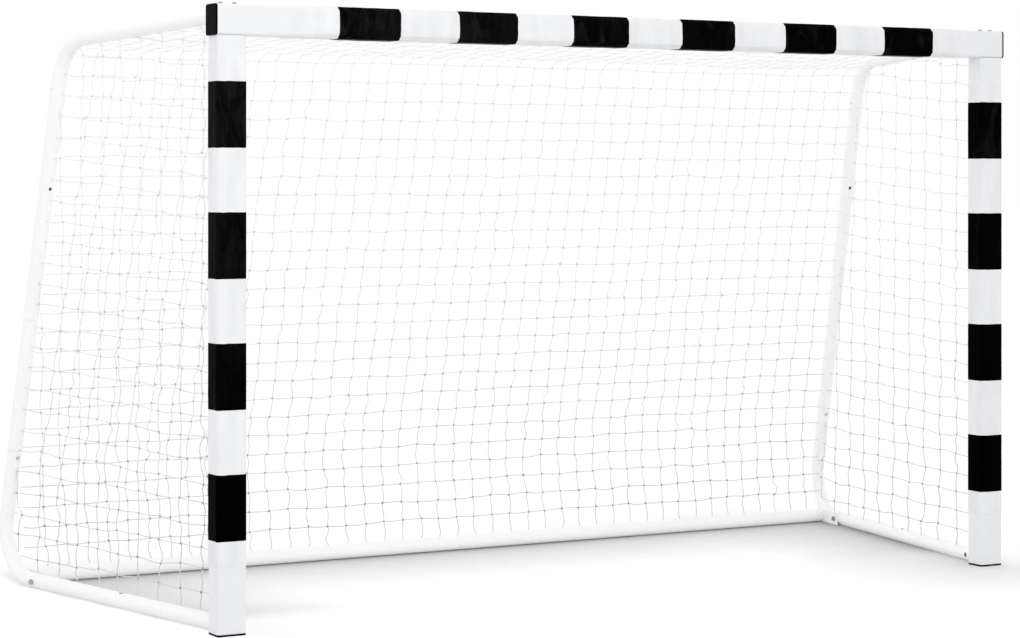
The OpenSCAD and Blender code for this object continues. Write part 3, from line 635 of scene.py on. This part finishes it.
def rounded_path(pts, radii):
    """Polyline with its inner corners rounded, sampled evenly, and its length."""
    out = [pts[0]]
    for k in range(1, len(pts) - 1):
        p, a, b = pts[k], pts[k - 1] - pts[k], pts[k + 1] - pts[k]
        la, lb = np.linalg.norm(a), np.linalg.norm(b)
        cut = min(radii[k - 1], CORNER_MOST * la, CORNER_MOST * lb)
        for t in np.linspace(0, 1, CORNER_POINTS):
            out.append(p + a / la * cut * (1 - t) ** 2 + b / lb * cut * t ** 2)
    out = np.array(out + [pts[-1]])
    d = np.concatenate([[0], np.cumsum(np.linalg.norm(np.diff(out, axis=0), axis=1))])
    q = np.linspace(0, d[-1], round(d[-1] / PATH_STEP) + 1)
    return np.stack([np.interp(q, d, out[:, 0]), np.interp(q, d, out[:, 1])], 1), d[-1]


# the net's path in the side plane: crossbar, ridge, fold low on the back, ground bar
FRONT_EDGE, FOLD_Z, FOLD_RADII = 0.0078, 0.3, (0.035, 0.06)
PATH, PATH_L = rounded_path([
    np.array([FRONT_EDGE / math.cos(SPLAY), RAIL_Z]), RIDGE,
    np.array([upright_s(FOLD_Z), FOLD_Z]), np.array([BAR_S, BAR_EDGE_Z])], FOLD_RADII)


def path_at(v):
    """(s, z) at distance v along the net's path, and the path's direction over a few steps."""
    x = v / PATH_L * (len(PATH) - 1)
    i = np.clip(np.floor(x).astype(int), 0, len(PATH) - 2)
    f = (x - i)[..., None]
    j = np.clip(i, BEHIND, len(PATH) - 1 - AHEAD)
    t = PATH[j + AHEAD] - PATH[j - BEHIND]
    return PATH[i] * (1 - f) + PATH[i + 1] * f, t / np.linalg.norm(t, axis=-1, keepdims=True)


def slack(u, v):
    """How far the net stands outside its path: the roof hangs, the back bellies, calm at its
    edges."""
    edge = soft_step(1 - np.abs(u), 0, EDGE_CALM)
    roof = np.sin(np.pi * np.clip(v / ROOF_L, 0, 1)) * -ROOF_SAG
    back = np.sin(np.pi * np.clip((v - ROOF_L) / BACK_L, 0, 1)) * BACK_BELLY
    drift = DRIFT * lattice(u * 3.1 + 7, v / 0.45, DRIFT_SEED)
    return edge * (roof + back + drift * np.clip(np.minimum(v, PATH_L - v) / END_CALM, 0, 1))


def net_point(u, v):
    """Point of the main net: u from -1 to 1 across, v along the path."""
    p, t = path_at(v)
    s, z = p[..., 0], p[..., 1]
    w = half_width(s) - np.where(s < TUCK_L, TUCK * (1 - s / TUCK_L), 0)
    off = slack(u, v)
    return np.stack([u * w, BACK_Y + s * math.cos(SPLAY) - off * t[..., 1] * math.cos(SPLAY),
                     z + off * t[..., 0]], -1)


def gauge(v):
    """Share of the cord's full thickness at v."""
    return ROOF_GAUGE + (1 - ROOF_GAUGE) * soft_step(v, GAUGE_FROM, GAUGE_TO)


def main_net():
    """Roof and back in one knotted mesh, from the crossbar over the ridge to the ground bar."""
    rng = np.random.default_rng(NET_SEED)
    cords = Cords()
    us = np.linspace(-1, 1, NET_COLS + 1)
    vs = np.linspace(0, PATH_L, round(PATH_L / NET_PITCH) + 1)
    nu, nv = len(us), len(vs)
    x_axis, z_axis = np.array([1.0, 0, 0]), np.array([0, 0, 1.0])
    stray = rng.normal(0, 1, (nu, nv, 2))
    stray[0] = stray[-1] = 0
    stray[:, 0] = stray[:, -1] = 0
    stray = x_axis * (stray[..., :1] * STRAY_X) + z_axis * (stray[..., 1:] * STRAY_Z)
    knots = net_point(*np.meshgrid(us, vs, indexing="ij")) + stray
    bow = rng.normal(0, 1, (nu, nv, 4))

    def stretch(i, j, di, dj, n):
        """n points from knot (i, j) towards knot (i + di, j + dj), and their places 0 to 1."""
        t = np.linspace(0, 1, n, endpoint=False)
        at = net_point(us[i] + (us[i + di] - us[i]) * t, vs[j] + (vs[j + dj] - vs[j]) * t)
        return at + stray[i, j] * (1 - t)[:, None] + stray[i + di, j + dj] * t[:, None], t

    for i in range(1, nu - 1):
        pts = []
        for j in range(nv - 1):
            at, t = stretch(i, j, 0, 1, COLUMN_POINTS)
            side = bow[i, j, 0] * np.sin(np.pi * t)
            side += COLUMN_WAVE * bow[i, j, 1] * np.sin(2 * np.pi * t)
            pts.append(at + x_axis * (side * COLUMN_BOW)[:, None])
        pts.append(knots[i, -1:])
        v = np.interp(np.arange((nv - 1) * COLUMN_POINTS + 1) / COLUMN_POINTS, np.arange(nv), vs)
        cords.tube(np.concatenate(pts), (0, -1, 0), CORD_R * gauge(v))
    for j in range(1, nv - 1):
        pts = []
        for i in range(nu - 1):
            at, t = stretch(i, j, 1, 0, ROW_POINTS)
            side = (bow[i, j, 2] - ROW_HANG) * np.sin(np.pi * t)
            pts.append(at + z_axis * (side * ROW_BOW)[:, None])
        pts.append(knots[-1:, j])
        cords.tube(np.concatenate(pts), (0, -1, 0), CORD_R * gauge(vs[j]))
    turns = rng.uniform(-1, 1, (nu, nv, 2))
    grow = rng.uniform(*KNOT_GROW, (nu, nv))
    for i in range(1, nu - 1):
        for j in range(1, nv - 1):
            cords.knot(knots[i, j], KNOT * grow[i, j] * gauge(vs[j]), turns[i, j])
    return cords.build("net_main")


# the side nets: how far inside the tubes' plane they lie, and half the tubes' thickness there
SIDE_Y = 0.0125
SIDE_HALF = math.sqrt(TUBE_R ** 2 - (SIDE_Y - CAD_CORD_HALF) ** 2) + NET_GAP
SIDE_EDGE = SIDE_HALF + CAD_CORD_HALF
SIDE_R = BEND_R - SIDE_EDGE
# columns and their pitch, how much closer they lie up at TAPER_H, rows, and where rows begin
# behind the post; points along a stretch
SIDE_COLS, SIDE_PITCH, SIDE_TAPER, SIDE_ROWS, SIDE_FRONT = 12, 0.096, 0.05, 26, 0.0057
TAPER_H, SIDE_POINTS = 1.4, 8
SIDE_ROW_PITCH = (RAIL_Z - GROUND_Z) / SIDE_ROWS
# the rows' tilt at the ground, how much of it is lost up to a height, and where they don't tilt
TILT_LOW, TILT_LOSS, TILT_Z, TILT_S = 0.02, 0.11, 1.45, 0.80
# knots keep off the tubes, step sideways in turn, stray and differ in size
KNOT_CLEAR, ZIGZAG, SIDE_STRAY_S, SIDE_STRAY_Z, SIDE_GROW = 0.012, 0.0028, 0.0042, 0.0028, 0.06
# below PLANE_Z the net stays in its own plane; above, its cords come out to the upright over OUT_L
PLANE_Z, OUT_L = 0.2, 0.07
# bows between the knots of a column and of a row, and the stretches too short for the whole bow
SIDE_COLUMN_BOW, SIDE_COLUMN_SHORT, SIDE_ROW_BOW, SIDE_ROW_SHORT = 0.0042, 0.05, 0.0014, 0.08
# cords feel for the tubes in small steps; rows stop a little short of the upright
FEEL, ROW_SHORT = 0.001, 0.0012
# a row that would end near the snap button is tied off above it, a column below it, past its
# last knot by at least COLUMN_TAIL
BUTTON_Z, ROW_NEAR, ROW_RISE = 0.3334, 0.016, 0.019
COLUMN_NEAR, COLUMN_DROP, COLUMN_TAIL = 0.025, 0.02, 0.004


def side_limits(s):
    """Lowest and highest height of the side net at distance s, inside the tubes."""
    low, high = GROUND_Z + SIDE_EDGE, rail_at(s) - SIDE_EDGE / math.cos(SLOPE)
    if s > LOW_CENTRE[0]:
        low = LOW_CENTRE[1] - math.sqrt(max(SIDE_R ** 2 - (s - LOW_CENTRE[0]) ** 2, 0))
    if s > TOP_CENTRE[0] + SIDE_R * math.sin(SLOPE):
        inside = SIDE_R ** 2 - (s - TOP_CENTRE[0]) ** 2
        if s <= TOP_CENTRE[0] + SIDE_R * math.cos(LEAN) and inside > 0:
            high = TOP_CENTRE[1] + math.sqrt(inside)
        else:
            high = GROUND_Z + (DEPTH_LOW - SIDE_EDGE / math.cos(LEAN) - s) / math.tan(LEAN)
    return low, high


def side_reach(z):
    """Furthest distance of the side net from the post at height z."""
    s = upright_s(z) - SIDE_EDGE / math.cos(LEAN)
    if z < LOW_CENTRE[1] + SIDE_R * math.sin(LEAN):
        s = LOW_CENTRE[0] + math.sqrt(max(SIDE_R ** 2 - (z - LOW_CENTRE[1]) ** 2, 0))
    if z > TOP_CENTRE[1] + SIDE_R * math.sin(LEAN):
        s = TOP_CENTRE[0] + math.sqrt(max(SIDE_R ** 2 - (z - TOP_CENTRE[1]) ** 2, 0))
    if z > TOP_CENTRE[1] + SIDE_R * math.cos(SLOPE):
        s = min(s, (RAIL_Z - SIDE_EDGE / math.cos(SLOPE) - z) / math.tan(SLOPE))
    return s


def col_s(i, z):
    """Distance of column i at height z."""
    return SIDE_FRONT + i * SIDE_PITCH * (1 - SIDE_TAPER * (z - GROUND_Z) / TAPER_H)


def row_z(j, s):
    """Height of row j at distance s."""
    z = GROUND_Z + j * SIDE_ROW_PITCH
    return z + (TILT_LOW - TILT_LOSS * z / TILT_Z) * (TILT_S - s)


def row_fits(j, s):
    """Whether row j lies inside the tubes at distance s."""
    low, high = side_limits(s)
    return low < row_z(j, s) < high


def crossing(i, j):
    """(s, z) where column i meets row j, which a few rounds settle."""
    z = GROUND_Z + j * SIDE_ROW_PITCH
    for _ in range(4):
        z = row_z(j, col_s(i, z))
    return col_s(i, z), z


def side_net(sgn, name, node):
    """Knotted mesh of one side, hung in the frame of tubes."""
    rng = np.random.default_rng(SIDE_SEED + sgn)
    cords = Cords()
    cs, sn = math.cos(SPLAY), math.sin(SPLAY)
    js = range(-1, SIDE_ROWS + 2)
    jitter = rng.normal(0, 1, (SIDE_COLS + 1, SIDE_ROWS + 3, 2))
    bow = rng.normal(0, 1, (SIDE_COLS + 1, SIDE_ROWS + 3, 4))

    def space(s, z):
        """Point in the frame for a point (s, z) of the side's plane."""
        reach = np.vectorize(side_reach)(z) - s
        y = SIDE_Y * np.where(z > PLANE_Z, np.clip(reach / OUT_L, 0, 1), 1.0)
        return np.stack([sgn * (POST_X + s * sn - y * cs), BACK_Y + s * cs + y * sn, z], -1)

    def lay(chain, run, short, size, bows):
        """Cord through the chain of points. run is the coordinate it runs along (0 s, 1 z);
        between points it bows by size across that, and less over a short stretch."""
        chain = np.array(chain)
        t = np.linspace(0, 1, SIDE_POINTS, endpoint=False)
        parts = []
        for k, (a, b) in enumerate(zip(chain[:-1], chain[1:])):
            once, twice = bows(k)
            part = a + (b - a) * t[:, None]
            w = min(1.0, abs(b[run] - a[run]) / short) * size
            part[:, 1 - run] += w * (once * np.sin(np.pi * t) + twice * np.sin(2 * np.pi * t))
            parts.append(part)
        s, z = np.concatenate(parts + [chain[-1:]]).T
        cords.tube(space(s, z), (sgn * cs, -sn, 0), CORD_R)

    knots = {}
    for i in range(1, SIDE_COLS):
        for j in js:
            s, z = crossing(i, j)
            low, high = side_limits(s)
            if low + KNOT_CLEAR < z < high - KNOT_CLEAR and s < side_reach(z) - KNOT_CLEAR:
                ds, dz = jitter[i, j + 1]
                knots[i, j] = (s + ZIGZAG * (-1) ** (i + j) + ds * SIDE_STRAY_S,
                               z + dz * SIDE_STRAY_Z)
    for i in range(1, SIDE_COLS):
        column = [knots[i, j] for j in js if (i, j) in knots]
        if not column:
            continue
        # down to the ground rail and up to the top rail or the upright
        low_s, top = column[0][0], column[-1][1]
        while (top < RAIL_Z and top < side_limits(col_s(i, top))[1]
               and col_s(i, top) < side_reach(top)):
            top += FEEL
        if abs(top - BUTTON_Z) < COLUMN_NEAR:
            top = BUTTON_Z - COLUMN_DROP
            column = [knot for knot in column if knot[1] < top - COLUMN_TAIL]
        lay([(low_s, side_limits(low_s)[0])] + column + [(col_s(i, top), top)], 1,
            SIDE_COLUMN_SHORT, SIDE_COLUMN_BOW,
            lambda k: (bow[i, k, 0], COLUMN_WAVE * bow[i, k, 1]))
    for j in js:
        row = [knots[i, j] for i in range(1, SIDE_COLS) if (i, j) in knots]
        if not row:
            continue
        start, end = row[0][0], row[-1][0]
        while end < side_reach(row_z(j, end)) - ROW_SHORT and row_fits(j, end):
            end += FEEL
        end_z = row_z(j, end)
        if abs(end_z - BUTTON_Z) < ROW_NEAR:
            end_z = BUTTON_Z + ROW_RISE
        while start > SIDE_FRONT and row_fits(j, start):
            start -= FEEL
        row = ([(start, row_z(j, start))] + row
               + [(min(end, side_reach(end_z) - ROW_SHORT), end_z)])
        lay(row, 0, SIDE_ROW_SHORT, SIDE_ROW_BOW,
            lambda k: (bow[k, j + 1, 2] - SIDE_ROW_HANG, ROW_WAVE * bow[k, j + 1, 3]))
    for (i, j), knot in knots.items():
        turn = jitter[i, j + 1]
        cords.knot(space(*np.array(knot)), KNOT * (1 + SIDE_GROW * turn[0]), turn)
    place(cords.build(name), "net_cord", node)


place(main_net(), "net_cord", "roof_net", "back_net", "back_net_hem")
side_net(-1, "net_side_left", "side_net_left")
side_net(1, "net_side_right", "side_net_right")

# ---- Floor ----

# The floor carries light to the object as a plain pale floor. Rays from the camera, reflections and
# transmissions see it nearly white, darkened by a painted shade towards whatever stands close above
# it.
FLOOR_ALBEDO, FLOOR_SEEN_ALBEDO, FLOOR_LIFT = 0.80, 0.25, 0.78
SHADE_REACH, SHADE_CURVE, SHADE_SAMPLES = 0.5, 0.48, 24
# the fan opens with the distance from the middle, up to FAN_X
SHADE_FAN, FAN_X, SHADE_BACK = 0.5, 1.5, 0.3
# half the floor's side; the fine grid's pitch and its reach in x and y
FLOOR_HALF, GRID, GRID_X, GRID_Y = 60, 0.04, (-2.4, 2.41), (-1.6, 1.41)


def floor_mesh():
    """Floor with a fine grid under the goal that carries where its painted shade is looked for
    ("lean", fanned out to both sides and to the back) and how much of it shows ("keep")."""
    xs = np.concatenate(([-FLOOR_HALF], np.arange(*GRID_X, GRID), [FLOOR_HALF]))
    ys = np.concatenate(([-FLOOR_HALF], np.arange(*GRID_Y, GRID), [FLOOR_HALF]))
    x, y = np.meshgrid(xs, ys)
    n = len(xs)
    i = (np.arange(len(ys) - 1)[:, None] * n + np.arange(n - 1)[None, :]).ravel()
    obj = make_mesh("floor", np.stack([x, y, np.zeros_like(x)], -1).reshape(-1, 3),
                    np.stack([i, i + 1, i + n + 1, i + n], 1))
    rail = POST_X + (y - BACK_Y) * math.tan(SPLAY)
    # no painted shade outside the left ground rail, little outside the right one
    keep = soft_step(x + rail, 0.0, 0.05)
    keep *= 1 - 0.8 * soft_step(x - rail, -0.02, 0.05) * soft_step(y, -0.42, -0.22)
    # hardly any by the left post's foot, less by the right one's
    keep *= 1 - 0.85 * soft_step(-y, 0.22, 0.38) * soft_step(-x, -0.2, 0.6)
    keep *= 1 - 0.4 * soft_step(-y, 0.1, 0.35) * soft_step(x, 0.3, 0.8)
    lean = np.stack([np.clip(x, -FAN_X, FAN_X) * SHADE_FAN, np.full_like(x, SHADE_BACK),
                     np.ones_like(x)], -1)
    lean /= np.linalg.norm(lean, axis=-1)[..., None]
    for name, kind, field, values in (("keep", "FLOAT", "value", keep),
                                      ("lean", "FLOAT_VECTOR", "vector", lean)):
        data = obj.data.attributes.new(name, kind, "POINT").data
        data.foreach_set(field, values.ravel().astype(np.float32))
    return obj


def shader_node(tree, kind, **inputs):
    """New node with some of its inputs set."""
    n = tree.nodes.new(kind)
    for key, v in inputs.items():
        n.inputs[key].default_value = v
    return n


def mix_by_ray(tree, light, look, out):
    """light for rays that carry light to the object, look for the camera's rays, reflections and
    transmissions."""
    path = tree.nodes.new("ShaderNodeLightPath").outputs
    seen = math_node(tree, "MAXIMUM", path["Is Camera Ray"], path["Is Glossy Ray"])
    seen = math_node(tree, "MAXIMUM", seen, path["Is Transmission Ray"])
    n = tree.nodes.new("ShaderNodeMixShader")
    for value, sock in zip((seen, light, look, n.outputs[0]), (*n.inputs, out)):
        link(tree, value, sock)


def matt(tree, albedo):
    return shader_node(tree, "ShaderNodeBsdfDiffuse", Color=(albedo, albedo, albedo, 1)).outputs[0]


def floor_shader():
    m = bpy.data.materials.new("floor_matt")
    m.use_nodes = True
    tree = m.node_tree
    tree.nodes.clear()
    out = tree.nodes.new("ShaderNodeOutputMaterial")
    close = shader_node(tree, "ShaderNodeAmbientOcclusion", Distance=SHADE_REACH)
    close.samples = SHADE_SAMPLES
    link(tree, attribute(tree, "lean")["Vector"], close.inputs["Normal"])
    # painted shade: the floor's glow is dimmed where things stand close above it
    shade = math_node(tree, "SUBTRACT", 1.0, close.outputs["AO"])
    shade = math_node(tree, "POWER", shade, SHADE_CURVE)
    shade = times(tree, shade, attribute(tree, "keep")["Fac"])
    glow = shader_node(tree, "ShaderNodeEmission", Color=(1, 1, 1, 1))
    lift = times(tree, math_node(tree, "SUBTRACT", 1.0, shade), FLOOR_LIFT)
    link(tree, lift, glow.inputs["Strength"])
    both = tree.nodes.new("ShaderNodeAddShader")
    link(tree, matt(tree, FLOOR_SEEN_ALBEDO), both.inputs[0])
    link(tree, glow.outputs[0], both.inputs[1])
    mix_by_ray(tree, matt(tree, FLOOR_ALBEDO), both.outputs[0], out.inputs["Surface"])
    return m


floor = floor_mesh()
floor.data.materials.append(floor_shader())

# ---- Light and camera ----

# the room's light from low to high, from the front to the back and from the left to the right
ROOM_HEIGHT, ROOM_DEPTH, ROOM_ACROSS = (1.42, 0.83), (0.88, 1.03), (0.88, 1.06)


def studio():
    """A pale room: brighter low down, behind the goal and on its right than overhead, in front
    and on its left; white to the camera."""
    world = bpy.data.worlds.new("studio")
    world.use_nodes = True
    tree = world.node_tree
    tree.nodes.clear()
    out = tree.nodes.new("ShaderNodeOutputWorld")
    white = shader_node(tree, "ShaderNodeBackground", Color=(1, 1, 1, 1), Strength=1.0)
    room = shader_node(tree, "ShaderNodeBackground", Color=(1, 1, 1, 1))
    at = axes(tree, tree.nodes.new("ShaderNodeTexCoord").outputs["Generated"])
    strength = times(tree, remap(tree, at["Z"], 0.0, 1.0, *ROOM_HEIGHT),
                     remap(tree, at["Y"], -1.0, 1.0, *ROOM_DEPTH))
    strength = times(tree, strength, remap(tree, at["X"], -1.0, 1.0, *ROOM_ACROSS))
    link(tree, strength, room.inputs["Strength"])
    mix_by_ray(tree, room.outputs[0], white.outputs[0], out.inputs["Surface"])
    return world


def lamp(name, at, target, size, power):
    """Square lamp that points at target."""
    data = bpy.data.lights.new(name, "AREA")
    data.shape = "RECTANGLE"
    data.size = data.size_y = size
    data.energy = power
    obj = bpy.data.objects.new(name, data)
    bpy.context.scene.collection.objects.link(obj)
    obj.location = at
    dx, dy, dz = np.array(target) - np.array(at)
    obj.rotation_euler = (math.atan2(math.hypot(dx, dy), -dz), 0, math.atan2(-dx, dy))


bpy.context.scene.world = studio()
lamp("key", at=(-1.9, -3.1, 3.0), target=(-1.1, -0.5, 1.3), size=2.0, power=23)
lamp("rear", at=(-1.4, 2.6, 4.8), target=(0, 0, 0.2), size=3.0, power=14)

# a level camera, in front of the goal and to its left, turned to the right
CAMERA_AT, CAMERA_TURN = (-3.62914, -6.07678, 1.0773), -0.49746
LENS, SHIFT_X, SHIFT_Y = 90.025, 0.0756, -0.13452

cam = bpy.data.cameras.new("camera")
cam.sensor_width = 36
cam.lens = LENS
cam.shift_x, cam.shift_y = SHIFT_X, SHIFT_Y
cam.clip_start, cam.clip_end = 0.1, 200
camera = bpy.data.objects.new("camera", cam)
bpy.context.scene.collection.objects.link(camera)
camera.location = CAMERA_AT
camera.rotation_euler = (math.pi / 2, 0, CAMERA_TURN)
bpy.context.scene.camera = camera
bpy.context.scene.view_settings.view_transform = "Standard"
